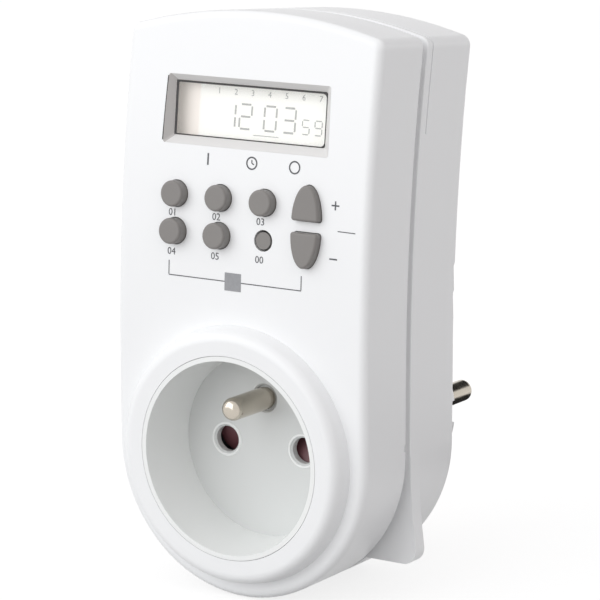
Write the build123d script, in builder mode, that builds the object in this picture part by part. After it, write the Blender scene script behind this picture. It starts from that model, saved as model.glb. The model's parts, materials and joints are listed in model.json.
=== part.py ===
"""Plug-in programmable timer: a two-shell housing with a socket in front and a mains plug behind.

Millimetres, +Z up. The origin is the centre of the plug face, between the two mains pins.
+Y points into the wall that the timer is plugged into, so the keypad and the socket face -Y.
"""
import os
from math import asin, cos, degrees, radians, sin, sqrt

from build123d import *

os.makedirs("parts", exist_ok=True)

# ---------------------------------------------------------------- driving dimensions
# Body
body_width = 61.0        # also sets the half-round bottom, centred on the socket axis
body_depth = 36.0        # front face to rear face, below the lean
front_depth = 16.0       # depth of the front shell's side
band_width = 1.8         # recessed band between the two shells
band_inset = 1.4
wall = 2.0
top_height = 90.8        # crown of the arched top, above the socket axis
arch_radius = 110.0
top_slope = 4.0          # degrees, the top falls towards the rear
corner_radius = 2.4      # upper corners, seen from the front
front_edge = 1.8         # rounding round the front face
rear_edge = 1.8
seam_edge = 0.35        # rounding of both shells' edges at the band
seam_line = 0.35        # fine groove round the top of the rear shell
seam_strip = 1.8        # from the band to that groove
seam_line_bottom = 66.0
notch_height = 2.2       # centre of the opening notches in the front shell's rear edge
notch_width = 1.4
notch_depth = 0.9
lean_start = 20.0        # above this height the body leans back along an arc
lean_radius = 370.0
tongue_depth = 2.5       # how far the rear shell reaches into the front shell
tongue_wall = 1.0
shell_gap = 0.1

# Socket ring and well
lip_height = 4.2         # ring above the front face
ring_radius = 27.0
ring_draft = 12.0
ring_edge = 2.2
well_radius = 20.3       # at the mouth
well_floor_radius = 19.4
well_depth = 14.0
well_outer = 21.3
floor_thickness = 1.8
floor_wall = 1.1          # wall of the well round its floor's disc
floor_rim = 1.0           # contact block's rim, which holds the floor
flange_radius = 24.0
flange_thickness = 1.6

# Mains pins, the same in the plug and in the socket
pin_radius = 2.4
pin_length = 19.0
pin_offset = 9.5         # each side of the axis
earth_offset = 10.0      # above the line of the pins
earth_length = 13.4      # above the socket floor
earth_bore = 14.0        # depth of the earth hole in the plug
contact_hole = 2.75      # hole radius in the socket floor
fit = 0.05               # radial clearance of a running or push fit
pin_root = 2.9           # thicker root of the plug pins, inside the end wall
neck_radius = 2.15       # the earth pin's neck, in its recess in the floor
neck_length = 0.9
neck_recess = 2.75

# Shutter
shutter_thickness = 3.4
shutter_pad = 3.5
shutter_hub = 4.0
pivot_radius = 1.6
shutter_play = 0.15
ramp_angle = 20.0

# Contact block
block_radius = 16.0
block_depth = 14.0
contact_wall = 0.85
spring_radius = 2.5
spring_wire = 0.5
spring_turns = 3

# Plug
plinth_radius = 22.5
plinth_depth = 3.0
plug_radius = 18.5
plug_depth = 18.5
plug_face = 3.5          # thickness of the plug's end wall
plug_cavity = 14.4
guide_width = 5.0        # grooves at both sides of the plug
guide_depth = 2.0
clip_width = 4.0
clip_thickness = 0.8
clip_groove = 2.2
strap_thickness = 0.8

# Feet: flared fins at the lower corners of the rear shell
foot_thickness = 3.5
foot_bottom = 23.0       # below the socket axis
foot_flare = 1.9
foot_corner = 3.0

# Control panel, laid out on the plane that touches the face at panel_height
panel_drop = 31.8        # from the crown down to that height
window_width = 40.2
window_height = 14.7
window_bevel = 1.65
window_depth = 1.5
window_corner = 0.5
window_up = 11.25
lens_rim = 1.8
lens_thickness = 1.0
frame_width = 0.6
frame_thickness = 0.4
lcd_thickness = 2.4
lcd_margin = 2.0
holder_wall = 1.2
key_seat = 2.6           # depth of the key flanges below the panel plane
key_radius = 2.7
key_proud = 2.1
key_gap = 0.15
key_flange = 0.6
key_flange_thickness = 1.0
key_travel = 0.8
key_columns = (-15.95, -5.1, 5.7)
key_rows = (-6.3, -14.0)
key_edge = 0.5
reset_radius = 1.75
reset_gap = 0.45
reset_sunk = 0.3
reset_travel = 0.5
rocker_across = 16.2
rocker_centre = -10.2
rocker_width = 6.4
rocker_length = 7.2
rocker_corner = 0.6
rocker_flange = 0.5
rocker_bar = 2.3         # housing left between the plus and minus keys
rocker_proud = 1.5
mat_thickness = 1.2
dome_radius = 2.2
mat_edge = 0.6
board_depth = 8.2        # front of the control board below the panel plane
board_thickness = 1.6
board_margin = 0.2       # beyond the display's holder, at each side
board_head = 3.85        # above the holder
board_tail = 8.0         # below the lower row of keys
board_standoff = 1.5
board_standoff_inset = 2.0

# Power board and its parts. Each place is across, then above the board's lower edge.
power_forward = 17.0     # from the rear face forwards to the board's front
power_bottom = 34.0
power_gap = 1.4          # to the rear shell's tongue, and to the screw posts
standoff_inset = 2.5
standoff_lift = 4.0
standoff_radius = 2.2
relay_size = (15.0, 11.0, 20.0)
relay_place = (-11.0, 20.0)
film_size = (18.0, 11.0, 7.0)
film_place = (8.0, 12.0)
varistor_size = (3.5, 9.0, 9.0)
varistor_place = (2.0, 26.0)
component_edge = 0.6
can_radius = 5.0
can_length = 11.5
can_place = (13.0, 26.0)
battery_radius = 7.8
battery_thickness = 5.5
battery_edge = 1.0
battery_place = (10.0, 12.0)
header_length = 15.0
header_width = 2.5
header_gap = 0.4
header_place = (-12.0, 8.0)

# Housing screws
post_drop = 10.8         # upper pair, below the crown
post_bond = 0.5          # how far the upper posts sink into the side walls
lower_post_radius = 24.9  # lower pair, from the socket axis
lower_post_angle = 45.0
post_radius = 3.0
rear_post_radius = 3.4
screw_radius = 1.5
screw_head = 2.7
screw_head_thickness = 2.0
screw_length = 14.0
screw_clearance = 0.2
screw_head_room = 2.0

# ---------------------------------------------------------------- derived places
rear_y = -(plug_depth + plinth_depth)
face_y = rear_y - body_depth
lip_y = face_y - lip_height
floor_y = lip_y + well_depth
floor_back = floor_y + floor_thickness
floor_radius = well_outer - floor_wall - fit
shutter_y = floor_back + shutter_play
block_y = shutter_y + shutter_thickness + shutter_play
block_back = block_y + block_depth
strap_back = block_back + strap_thickness
groove_floor = plug_radius - clip_groove
rivet_radius = 0.7 * pin_radius
contact_outer = pin_radius + fit + contact_wall
post_height = top_height - post_drop
post_across = body_width / 2 - wall - post_radius + post_bond
lower_post = (
    lower_post_radius * sin(radians(lower_post_angle)),
    -lower_post_radius * cos(radians(lower_post_angle)),
)
posts = [
    (-post_across, post_height),
    (post_across, post_height),
    (-lower_post[0], lower_post[1]),
    lower_post,
]
pins = [(-pin_offset, 0), (pin_offset, 0)]
screw_bite = front_depth - 2 * wall

panel_height = top_height - panel_drop
panel_tilt = asin((panel_height - lean_start) / lean_radius)
panel = Plane(
    origin=(0, face_y + lean_radius * (1 - cos(panel_tilt)), panel_height),
    x_dir=(1, 0, 0),
    z_dir=(0, -cos(panel_tilt), sin(panel_tilt)),
)
dome_top = key_seat + key_flange_thickness + key_travel + fit
lens_seat = window_depth + lens_thickness
frame_seat = lens_seat + lens_thickness
lcd_seat = frame_seat + frame_thickness
lcd_back = lcd_seat + lcd_thickness
opening_width = window_width - 2 * window_bevel
opening_height = window_height - 2 * window_bevel
lens_width = opening_width + 2 * lens_rim
lens_height = opening_height + 2 * lens_rim
lcd_width = opening_width + 2 * lcd_margin
lcd_height = opening_height + 3 * lcd_margin
holder_width = lcd_width + 2 * holder_wall
holder_height = lcd_height + 2 * holder_wall
board_width = holder_width + 2 * board_margin
board_top = window_up + holder_height / 2 + board_head
board_bottom = key_rows[1] - board_tail
power_y = rear_y - power_forward
power_back = power_y + board_thickness
power_width = body_width - 2 * (wall + shell_gap + tongue_wall + power_gap)
power_top = post_height - rear_post_radius - power_gap
standoff_across = power_width / 2 - standoff_inset


def leaning_y(height, depth):
    """Y of the surface that lies depth behind the front face, at a height."""
    rise = max(height - lean_start, 0)
    return face_y + lean_radius - sqrt((lean_radius - depth) ** 2 - rise**2)


def screw_seat(height):
    """Y of the ledge that a screw's head bears on."""
    return leaning_y(height, front_depth) + screw_length - screw_bite + screw_head_room


def body_block(front, back, inset):
    """The body between two depths behind the front face, set in from its outline."""
    half = body_width / 2 - inset
    reach = body_depth + plug_depth + plinth_depth + lip_height + 20
    sweep = degrees(asin((top_height + 10 - lean_start) / (lean_radius - body_depth)))
    with BuildPart() as block:
        with BuildSketch(Plane.XZ.offset(-10)):
            Circle(half)
            Rectangle(2 * half, top_height + 10, align=(Align.CENTER, Align.MIN))
        extrude(amount=reach)
        slope = radians(top_slope)
        arch_axis = Plane(
            origin=(0, face_y, top_height - arch_radius),
            x_dir=(1, 0, 0),
            z_dir=(0, cos(slope), -sin(slope)),
        )
        with BuildSketch(arch_axis):
            Circle(arch_radius - inset)
        extrude(amount=reach, both=True, mode=Mode.INTERSECT)
        corners = block.edges().filter_by(lambda e: e.center().Z > lean_start + 30)
        corners = corners.filter_by(lambda e: abs(abs(e.center().X) - half) < 0.01)
        corners = corners.filter_by(lambda e: abs(e.tangent_at(0.5).Y) > 0.9)
        fillet(corners, max(corner_radius - inset, 1.0))
        with BuildSketch(Plane.YZ):
            with BuildLine():
                centre = (face_y + lean_radius, lean_start)
                low = -body_width
                near = CenterArc(centre, lean_radius - front, 180, -sweep)
                far = CenterArc(centre, lean_radius - back, 180, -sweep)
                Line(near @ 1, far @ 1)
                Polyline(near @ 0, (face_y + front, low), (face_y + back, low), far @ 0)
            make_face()
        extrude(amount=body_width, both=True, mode=Mode.INTERSECT)
    return block.part


def rim(part, depth):
    """Edges of a block that lie on the surface at a depth behind the front face."""
    edges = part.edges().filter_by(
        lambda e: abs(e.center().Y - leaning_y(e.center().Z, depth)) < 0.35
    )
    edges = edges.filter_by(lambda e: abs(e.tangent_at(0.5).Y) < 0.6)
    return edges.filter_by(lambda e: abs(e.center().Z - lean_start) > 0.01)


def rocker_key(grow, up):
    """Half-oval outline of the plus key (up = 1) or the minus key (up = -1)."""
    base = (rocker_across, rocker_centre + up * (rocker_bar / 2 - grow))
    side = rocker_width / 2 + grow
    with BuildSketch() as outline:
        with BuildLine():
            crown = EllipticalCenterArc(base, side, rocker_length + 2 * grow, arc_size=180 * up)
            Line(crown @ 1, crown @ 0)
        make_face()
        fillet(outline.vertices(), rocker_corner + grow)
    return outline.sketch


board_standoffs = [
    (side * (board_width / 2 - board_standoff_inset), height)
    for side in (-1, 1)
    for height in (board_bottom + board_standoff_inset, board_top - board_standoff_inset)
]
round_keys = [(x, z) for z in key_rows for x in key_columns][:5]
reset_place = (key_columns[2], key_rows[1])

# ---------------------------------------------------------------- front shell
front_block = body_block(0, front_depth, 0)
front_cavity = body_block(wall, front_depth + 1, wall)
with BuildPart() as front_housing:
    add(front_block)
    fillet(rim(front_housing.part, 0), front_edge)
    fillet(rim(front_housing.part, front_depth), seam_edge)
    # Raised ring round the socket, standing on the face
    with BuildSketch(Plane.XZ.offset(-face_y)):
        Circle(ring_radius)
    extrude(amount=lip_height, taper=ring_draft)
    ring_rim = front_housing.edges().filter_by(GeomType.CIRCLE).sort_by(Axis.Y)[0]
    fillet(ring_rim, ring_edge)
    add(front_cavity, mode=Mode.SUBTRACT)
    # Bore for the socket insert
    with BuildSketch(Plane.XZ.offset(-lip_y)):
        Circle(well_outer + shell_gap)
    extrude(amount=-(lip_height + wall + 1), mode=Mode.SUBTRACT)
    # Bevelled window and the opening behind it
    with BuildSketch(panel.offset(0.5)):
        with Locations((0, window_up)):
            bevel_rise = 0.5 * window_bevel / window_depth
            outer_width = window_width + 2 * bevel_rise
            outer_height = window_height + 2 * bevel_rise
            RectangleRounded(outer_width, outer_height, window_corner)
    with BuildSketch(panel.offset(-window_depth)):
        with Locations((0, window_up)):
            RectangleRounded(opening_width, opening_height, window_corner)
    loft(mode=Mode.SUBTRACT)
    with BuildSketch(panel.offset(-window_depth)):
        with Locations((0, window_up)):
            RectangleRounded(opening_width, opening_height, window_corner)
    extrude(amount=-2 * wall, mode=Mode.SUBTRACT)
    # Key holes
    with BuildSketch(panel.offset(1)):
        with Locations(*round_keys):
            Circle(key_radius + key_gap)
        with Locations(reset_place):
            Circle(reset_radius + reset_gap)
        add(rocker_key(key_gap, 1))
        add(rocker_key(key_gap, -1))
    extrude(amount=-(wall + 2), mode=Mode.SUBTRACT)
    # Screw posts, from the face to the joint with the rear shell's posts
    for across, height in posts:
        with BuildSketch(Plane.XZ.offset(-leaning_y(height, front_depth))):
            with Locations((across, height)):
                Circle(post_radius)
        extrude(amount=front_depth - wall / 2)
    # Standoffs for the control board
    with BuildSketch(panel.offset(-board_depth)):
        with Locations(*board_standoffs):
            Circle(board_standoff)
    extrude(amount=board_depth - wall / 2)
    for across, height in posts:
        with BuildSketch(Plane.XZ.offset(-leaning_y(height, front_depth))):
            with Locations((across, height)):
                Circle(screw_radius)
        extrude(amount=screw_bite, mode=Mode.SUBTRACT)
    # Opening notches in the rear edge, one at each side
    with BuildSketch(Plane.XZ.offset(-(face_y + front_depth - notch_depth))):
        with Locations((-body_width / 2, notch_height), (body_width / 2, notch_height)):
            Rectangle(3 * wall, notch_width)
    extrude(amount=-2 * notch_depth, mode=Mode.SUBTRACT)
front_housing.part.label = "front_housing"
export_step(front_housing.part, "parts/front_housing.step")

# ---------------------------------------------------------------- rear shell
band_back = front_depth + band_width
tongue_front = front_depth - tongue_depth
tongue_inset = wall + shell_gap
rear_block = body_block(band_back, body_depth, 0)
band_block = body_block(front_depth, band_back + 1, band_inset)
rear_cavity = body_block(front_depth - 1, body_depth - wall, wall)
tongue_block = body_block(tongue_front, band_back + wall, tongue_inset)
tongue_cavity = body_block(tongue_front - 1, band_back + wall + 1, tongue_inset + tongue_wall)
line_front = band_back + seam_strip
with BuildPart() as top_line:
    add(body_block(line_front, line_front + seam_line, -1))
    add(body_block(line_front - 1, line_front + seam_line + 1, seam_line), mode=Mode.SUBTRACT)
    with BuildSketch(Plane.XY.offset(seam_line_bottom)):
        Rectangle(2 * body_width, 4 * body_depth)
    extrude(amount=-2 * body_width, mode=Mode.SUBTRACT)
with BuildPart() as tongue:
    add(tongue_block)
    add(tongue_cavity, mode=Mode.SUBTRACT)
    # Room for the front shell's screw posts
    for across, height in posts:
        with BuildSketch(Plane.XZ.offset(-(leaning_y(height, front_depth) + shell_gap))):
            with Locations((across, height)):
                Circle(post_radius + shell_gap)
        extrude(amount=3 * tongue_depth, mode=Mode.SUBTRACT)
with BuildPart() as rear_housing:
    add(rear_block)
    fillet(rim(rear_housing.part, body_depth), rear_edge)
    fillet(rim(rear_housing.part, band_back), seam_edge)
    add(top_line.part, mode=Mode.SUBTRACT)
    # Feet, flared fins that square off the lower corners
    with BuildSketch(Plane.XZ.offset(-(face_y + band_back))) as feet:
        with BuildLine():
            flare_radius = foot_bottom**2 / (2 * foot_flare)
            start = (body_width / 2, 0)
            flare = CenterArc(
                (body_width / 2 + flare_radius, 0), flare_radius, 180, degrees(asin(foot_bottom / flare_radius))
            )
            corner = flare @ 1
            inner = body_width / 4
            Polyline(corner, (inner, corner.Y), (inner, 0), start)
        make_face()
        fillet(feet.vertices().group_by(Axis.X)[-1], foot_corner)
        mirror(about=Plane.YZ)
    extrude(amount=-foot_thickness)
    add(band_block)
    # Plug, on a plinth
    with BuildSketch(Plane.XZ.offset(-rear_y + 1)):
        Circle(plinth_radius)
    extrude(amount=-(plinth_depth + 1))
    plinth_rim = rear_housing.edges().filter_by(GeomType.CIRCLE).filter_by(
        lambda e: abs(e.radius - plinth_radius) < 0.01
    )
    fillet(plinth_rim.sort_by(Axis.Y)[-1], 1.0)
    with BuildSketch(Plane.XZ):
        Circle(plug_radius)
    extrude(amount=plug_depth + 1)
    fillet(rear_housing.edges().filter_by(GeomType.CIRCLE).sort_by(Axis.Y)[-1], 1.2)
    # Guide grooves at both sides, and grooves for the earth clips above and below
    with BuildSketch(Plane.XZ):
        with Locations((plug_radius, 0), (-plug_radius, 0)):
            Rectangle(2 * guide_depth, guide_width)
        with Locations((0, plug_radius), (0, -plug_radius)):
            Rectangle(clip_width + 2 * shell_gap, 2 * clip_groove)
    extrude(amount=plug_depth, mode=Mode.SUBTRACT)
    add(rear_cavity, mode=Mode.SUBTRACT)
    add(tongue.part)
    # Hollow of the plug, behind its end wall
    with BuildSketch(Plane.XZ.offset(plug_face)):
        Circle(plug_cavity)
    extrude(amount=plug_depth + plinth_depth, mode=Mode.SUBTRACT)
    # Pin holes and the earth hole
    with BuildSketch(Plane.XZ):
        with Locations(*pins):
            Circle(pin_root + fit)
        with Locations((0, earth_offset)):
            Circle(pin_radius + fit)
    extrude(amount=plug_face + 1, mode=Mode.SUBTRACT)
    # Slots that let the earth clips through the rear wall
    with BuildSketch(Plane.XZ.offset(plug_depth)):
        slot_height = clip_groove + shell_gap
        with Locations((0, plug_radius - slot_height / 2), (0, slot_height / 2 - plug_radius)):
            Rectangle(clip_width + 2 * shell_gap, slot_height)
    extrude(amount=plinth_depth + wall + 1, mode=Mode.SUBTRACT)
    # Screw posts and the standoffs of the power board
    for across, height in posts:
        with BuildSketch(Plane.XZ.offset(-leaning_y(height, front_depth))):
            with Locations((across, height)):
                Circle(rear_post_radius)
        extrude(amount=-(body_depth - front_depth - wall / 2))
    for height in (power_bottom + standoff_lift, power_top - standoff_lift):
        with BuildSketch(Plane.XZ.offset(-power_back)):
            with Locations((-standoff_across, height), (standoff_across, height)):
                Circle(standoff_radius)
        extrude(amount=power_back - leaning_y(height, body_depth - wall / 2))
    for across, height in posts:
        with BuildSketch(Plane.XZ.offset(-leaning_y(height, front_depth))):
            with Locations((across, height)):
                Circle(screw_radius + screw_clearance)
        extrude(amount=-(body_depth - front_depth), mode=Mode.SUBTRACT)
        with BuildSketch(Plane.XZ.offset(-screw_seat(height))):
            with Locations((across, height)):
                Circle(screw_head + screw_clearance)
        extrude(amount=-body_depth, mode=Mode.SUBTRACT)
rear_housing.part.label = "rear_housing"
export_step(rear_housing.part, "parts/rear_housing.step")

# ---------------------------------------------------------------- socket
with BuildPart() as socket_well:
    with BuildSketch(Plane.XZ.offset(-lip_y)):
        Circle(well_outer)
    extrude(amount=-(block_y - lip_y))
    # Seating flange against the back of the face, notched round the screw posts
    with BuildSketch(Plane.XZ.offset(-(face_y + wall + shell_gap))):
        Circle(flange_radius)
        with Locations(*posts[2:]):
            Circle(post_radius + 2 * shell_gap, mode=Mode.SUBTRACT)
    extrude(amount=-flange_thickness)
    # Tapered well
    with BuildSketch(Plane.XZ.offset(-lip_y)):
        Circle(well_radius)
    with BuildSketch(Plane.XZ.offset(-floor_y)):
        Circle(well_floor_radius)
    loft(mode=Mode.SUBTRACT)
    # Seat for the floor, which goes in from behind
    with BuildSketch(Plane.XZ.offset(-floor_y)):
        Circle(floor_radius + fit)
    extrude(amount=-(block_y - floor_y), mode=Mode.SUBTRACT)
socket_well.part.label = "socket_well"
export_step(socket_well.part, "parts/socket_well.step")

# Floor of the well: a disc that the contact block's rim holds against the well's ledge
with BuildPart() as socket_floor:
    with BuildSketch(Plane.XZ.offset(-floor_y)):
        Circle(floor_radius)
    extrude(amount=-floor_thickness)
    # Shutter pivot
    with BuildSketch(Plane.XZ.offset(-floor_back)):
        Circle(pivot_radius)
    extrude(amount=-(block_y - floor_back))
    # Contact holes and the earth pin's hole
    with BuildSketch(Plane.XZ.offset(-floor_y)):
        with Locations(*pins):
            Circle(contact_hole)
        with Locations((0, earth_offset)):
            Circle(rivet_radius + fit)
    extrude(amount=-floor_thickness, mode=Mode.SUBTRACT)
    # Recess round the earth pin's neck
    with BuildSketch(Plane.XZ.offset(-floor_y)):
        with Locations((0, earth_offset)):
            Circle(neck_recess)
    extrude(amount=-neck_length, mode=Mode.SUBTRACT)
    hole_rims = socket_floor.edges().filter_by(GeomType.CIRCLE).filter_by(
        lambda e: abs(e.radius - contact_hole) < 0.01 and abs(e.center().Y - floor_y) < 0.01
    )
    chamfer(hole_rims, 0.35)
socket_floor.part.label = "socket_floor"
export_step(socket_floor.part, "parts/socket_floor.step")

with BuildPart() as earth_pin:
    with BuildSketch(Plane.XZ.offset(-(floor_y - earth_length))):
        with Locations((0, earth_offset)):
            Circle(pin_radius)
    extrude(amount=-earth_length)
    fillet(earth_pin.edges().sort_by(Axis.Y)[0], 0.8 * pin_radius)
    with BuildSketch(Plane.XZ.offset(-floor_y)):
        with Locations((0, earth_offset)):
            Circle(neck_radius)
    extrude(amount=-neck_length)
    # Narrower shank through the contact block, riveted to the earth bridge
    with BuildSketch(Plane.XZ.offset(-(floor_y + neck_length))):
        with Locations((0, earth_offset)):
            Circle(rivet_radius)
    extrude(amount=-(block_back - floor_y - neck_length))
earth_pin.part.label = "earth_pin"
export_step(earth_pin.part, "parts/earth_pin.step")

# Two-armed shutter. It turns about the socket axis, pushed aside by the pins on its ramps.
with BuildPart() as shutter:
    with BuildSketch(Plane.XZ.offset(-shutter_y)):
        Circle(shutter_hub)
        Rectangle(2 * pin_offset, 1.4 * shutter_pad)
        with Locations(*pins):
            Circle(shutter_pad)
    extrude(amount=-shutter_thickness)
    for side in (1, -1):
        with BuildSketch(Plane.YZ.offset(side * (pin_offset - shutter_pad))):
            with BuildLine():
                drop = 2 * shutter_pad * sin(radians(ramp_angle)) / cos(radians(ramp_angle))
                Polyline(
                    (shutter_y, -side * shutter_pad),
                    (shutter_y, side * (shutter_pad + 1)),
                    (shutter_y + drop, side * (shutter_pad + 1)),
                    (shutter_y + drop, side * shutter_pad),
                    close=True,
                )
            make_face()
        extrude(amount=side * (2 * shutter_pad + 1), mode=Mode.SUBTRACT)
    with BuildSketch(Plane.XZ.offset(-shutter_y)):
        Circle(pivot_radius + fit)
    extrude(amount=-shutter_thickness, mode=Mode.SUBTRACT)
shutter.part.label = "shutter"
export_step(shutter.part, "parts/shutter.step")

# Contact block, which closes the shutter's space and holds both contacts
spring_pocket = spring_radius + spring_wire + 0.3
spring_height = spring_turns * spring_wire + 0.4
with BuildPart() as contact_block:
    with BuildSketch(Plane.XZ.offset(-block_y)):
        Circle(well_outer)
    extrude(amount=-wall)
    # Rim round the shutter's space, up to the back of the well's floor
    with BuildSketch(Plane.XZ.offset(-floor_back)):
        Circle(floor_radius)
        Circle(floor_radius - floor_rim, mode=Mode.SUBTRACT)
    extrude(amount=-(block_y - floor_back))
    with BuildSketch(Plane.XZ.offset(-block_y)):
        Circle(block_radius)
    extrude(amount=-block_depth)
    with BuildSketch(Plane.XZ.offset(-block_y)):
        with Locations(*pins):
            Circle(contact_outer + fit)
        with Locations((0, earth_offset)):
            Circle(rivet_radius + fit)
    extrude(amount=-block_depth, mode=Mode.SUBTRACT)
    with BuildSketch(Plane.XZ.offset(-block_y)):
        Circle(spring_pocket)
    extrude(amount=-spring_height, mode=Mode.SUBTRACT)
contact_block.part.label = "contact_block"
export_step(contact_block.part, "parts/contact_block.step")

with BuildPart() as shutter_spring:
    for turn in range(spring_turns):
        with BuildSketch(Plane.XY):
            with Locations((spring_radius, block_y + 0.3 + (turn + 0.5) * spring_wire)):
                Circle(spring_wire / 2 + 0.01)
        revolve(axis=Axis.Y)
shutter_spring.part.label = "shutter_spring"
export_step(shutter_spring.part, "parts/shutter_spring.step")

for name, (across, height) in zip(("socket_contact_left", "socket_contact_right"), pins):
    with BuildPart() as contact:
        with BuildSketch(Plane.XZ.offset(-(block_y + wall / 2))):
            with Locations((across, height)):
                Circle(contact_outer)
                Circle(pin_radius + fit, mode=Mode.SUBTRACT)
            # Slit that lets the sleeve spring open
            with Locations((across + (contact_outer if across > 0 else -contact_outer), height)):
                Rectangle(2 * contact_wall + pin_radius, 1.0, mode=Mode.SUBTRACT)
        extrude(amount=-(block_depth - wall / 2))
    contact.part.label = name
    export_step(contact.part, f"parts/{name}.step")

# ---------------------------------------------------------------- plug
pin_shoulder = -plug_face
shank_radius = 0.75 * pin_radius
collar_radius = pin_radius + 1.0
collar_thickness = 1.5
live_lead_y = strap_back + 1.2   # the incoming live strip runs behind the outgoing one
shank_ends = (live_lead_y + strap_thickness, strap_back)
names = ("plug_pin_left", "plug_pin_right")
for name, (across, height), shank_end in zip(names, pins, shank_ends):
    with BuildPart() as plug_pin:
        with BuildSketch(Plane.XZ):
            with Locations((across, height)):
                Circle(pin_radius)
        extrude(amount=-pin_length)
        fillet(plug_pin.edges().sort_by(Axis.Y)[-1], 0.6 * pin_radius)
        with BuildSketch(Plane.XZ):
            with Locations((across, height)):
                Circle(pin_root)
        extrude(amount=plug_face)
        with BuildSketch(Plane.XZ.offset(-pin_shoulder)):
            with Locations((across, height)):
                Circle(collar_radius)
        extrude(amount=collar_thickness)
        with BuildSketch(Plane.XZ.offset(-pin_shoulder)):
            with Locations((across, height)):
                Circle(shank_radius)
        extrude(amount=pin_shoulder - shank_end)
    plug_pin.part.label = name
    export_step(plug_pin.part, f"parts/{name}.step")

# Carrier that clamps the pins' collars and the earth sleeve against the end wall
carrier_front = pin_shoulder - collar_thickness
carrier_thickness = 6.0
sleeve_length = earth_bore - plug_face
with BuildPart() as pin_carrier:
    with BuildSketch(Plane.XZ.offset(-carrier_front)):
        Circle(plug_cavity - shell_gap)
        with Locations(*pins):
            Circle(shank_radius + fit, mode=Mode.SUBTRACT)
        with Locations((0, earth_offset)):
            Circle(contact_outer + fit, mode=Mode.SUBTRACT)
    extrude(amount=carrier_thickness)
pin_carrier.part.label = "pin_carrier"
export_step(pin_carrier.part, "parts/pin_carrier.step")

with BuildPart() as earth_sleeve:
    with BuildSketch(Plane.XZ.offset(-pin_shoulder)):
        with Locations((0, earth_offset)):
            Circle(contact_outer)
    extrude(amount=sleeve_length + 1)
    with BuildSketch(Plane.XZ.offset(-pin_shoulder)):
        with Locations((0, earth_offset)):
            Circle(pin_radius + fit)
    extrude(amount=sleeve_length, mode=Mode.SUBTRACT)
    with BuildSketch(Plane.XZ.offset(-(pin_shoulder - sleeve_length))):
        with Locations((0, earth_offset)):
            Circle(shank_radius)
    extrude(amount=pin_shoulder - sleeve_length - strap_back)
earth_sleeve.part.label = "earth_sleeve"
export_step(earth_sleeve.part, "parts/earth_sleeve.step")

# Earth clips in the plug's upper and lower grooves, bowed outwards
clip_inner = groove_floor + shell_gap
clip_back = -1.5
for name, up in (("earth_clip_top", 1), ("earth_clip_bottom", -1)):
    with BuildPart() as earth_clip:
        with BuildSketch(Plane.YZ):
            with BuildLine() as spine:
                low = up * (clip_inner + clip_thickness / 2)
                high = up * (plug_radius - clip_thickness / 2)
                bow_end = clip_back - 1.0
                Line((strap_back + clip_thickness / 2, low), (-plug_depth + 2, low))
                ThreePointArc(
                    (-plug_depth + 2, low), ((-plug_depth + 2 + bow_end) / 2, high), (bow_end, low)
                )
                offset(amount=clip_thickness / 2)
            make_face()
        extrude(amount=clip_width / 2, both=True)
    earth_clip.part.label = name
    export_step(earth_clip.part, f"parts/{name}.step")

# Bridge from the socket's earth pin to the sleeve and both clips
with BuildPart() as earth_bridge:
    with BuildSketch(Plane.XZ.offset(-block_back)):
        Rectangle(clip_width, 2 * (clip_inner + clip_thickness))
        with Locations((0, earth_offset)):
            Circle(contact_outer)
    extrude(amount=-strap_thickness)
earth_bridge.part.label = "earth_bridge"
export_step(earth_bridge.part, "parts/earth_bridge.step")

# Neutral tab, straight from the right pin to the right contact
tab_width = 2 * contact_outer
with BuildPart() as neutral_tab:
    with BuildSketch(Plane.XZ.offset(-block_back)):
        with Locations((pin_offset, 0)):
            Rectangle(tab_width, tab_width)
    extrude(amount=-strap_thickness)
neutral_tab.part.label = "neutral_tab"
export_step(neutral_tab.part, "parts/neutral_tab.step")

# Live strips, up to the power board: one from the left contact, one from the left pin
strip_width = 3.0
strip_top = power_bottom + 2.5
strips = {"live_strip_out": (block_back, -1.0), "live_strip_in": (live_lead_y, 1.0)}
for name, (strip_y, shift) in strips.items():
    with BuildPart() as live_strip:
        with BuildSketch(Plane.XZ.offset(-strip_y)):
            with Locations((-pin_offset, 0)):
                Rectangle(tab_width, tab_width)
            with Locations((-pin_offset + shift * strip_width, 0)):
                Rectangle(strip_width, strip_top, align=(Align.CENTER, Align.MIN))
        extrude(amount=-strap_thickness)
        with BuildSketch(Plane.XZ.offset(-power_back)):
            with Locations((-pin_offset + shift * strip_width, strip_top)):
                Rectangle(strip_width, strap_thickness, align=(Align.CENTER, Align.MAX))
        extrude(amount=-(strip_y + strap_thickness - power_back))
        if name == "live_strip_in":
            with BuildSketch(Plane.XZ.offset(-strip_y)):
                with Locations((-pin_offset, 0)):
                    Circle(shank_radius)
            extrude(amount=-strap_thickness, mode=Mode.SUBTRACT)
    live_strip.part.label = name
    export_step(live_strip.part, f"parts/{name}.step")

# ---------------------------------------------------------------- display
with BuildPart() as display_window:
    with BuildSketch(panel.offset(-window_depth)):
        with Locations((0, window_up)):
            pane_width = opening_width - 2 * shell_gap
            pane_height = opening_height - 2 * shell_gap
            RectangleRounded(pane_width, pane_height, window_corner)
    extrude(amount=-lens_thickness)
    with BuildSketch(panel.offset(-lens_seat)):
        with Locations((0, window_up)):
            RectangleRounded(lens_width, lens_height, 1.0)
    extrude(amount=-lens_thickness)
display_window.part.label = "display_window"
export_step(display_window.part, "parts/display_window.step")

with BuildPart() as display_frame:
    with BuildSketch(panel.offset(-frame_seat)):
        with Locations((0, window_up)):
            RectangleRounded(lens_width, lens_height, 1.0)
            hollow_width = lens_width - 2 * frame_width
            hollow_height = lens_height - 2 * frame_width
            RectangleRounded(hollow_width, hollow_height, 0.5, mode=Mode.SUBTRACT)
    extrude(amount=-frame_thickness)
display_frame.part.label = "display_frame"
export_step(display_frame.part, "parts/display_frame.step")

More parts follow.
